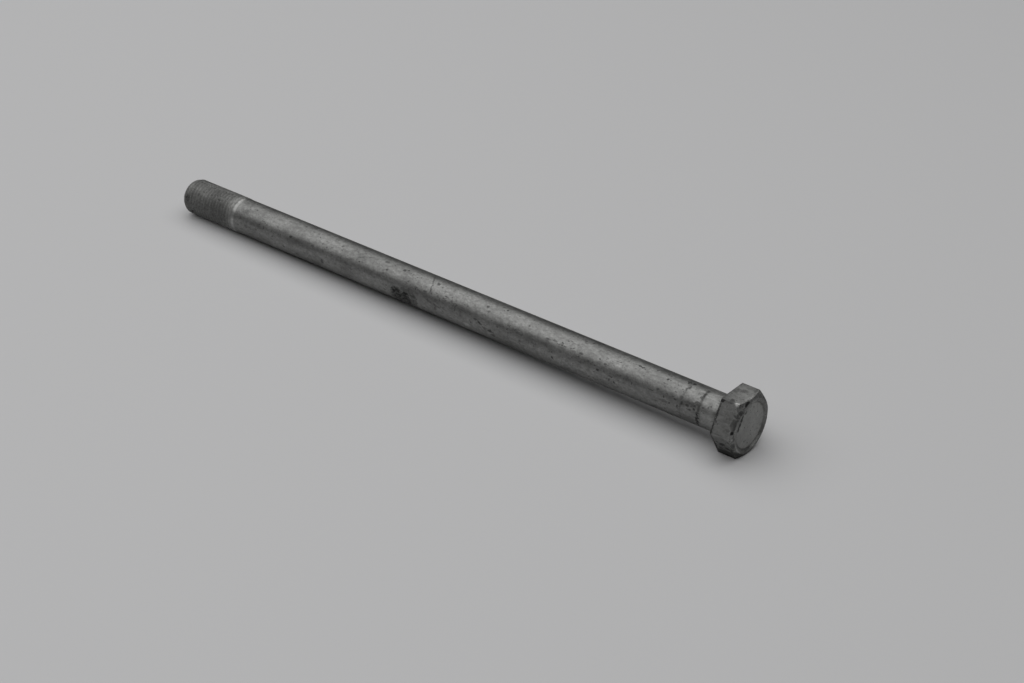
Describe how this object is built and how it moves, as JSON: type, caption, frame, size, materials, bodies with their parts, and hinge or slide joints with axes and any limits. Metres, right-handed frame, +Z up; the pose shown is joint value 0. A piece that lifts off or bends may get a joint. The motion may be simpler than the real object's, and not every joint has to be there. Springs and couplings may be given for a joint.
{
  "type": "hex bolt",
  "caption": "Long hexagon head bolt with a recessed head, plain shank and short threaded end.",
  "frame": {"origin": "centre of the bearing face under the head, on the bolt's axis", "axes": "+X along the bolt's axis from the bearing face to the top of the head, so the threaded end points along -X; +Z up, with two of the hexagon's flats facing up and down"},
  "size_m": [0.2588, 0.024, 0.021],
  "materials": {
    "zinc_plated_steel": "dull satin grey zinc plating, mottled, with dark grime and fine scratches"
  },
  "bodies": {
    "root": {"hex_bolt": "zinc_plated_steel"}
  },
  "joints": []
}
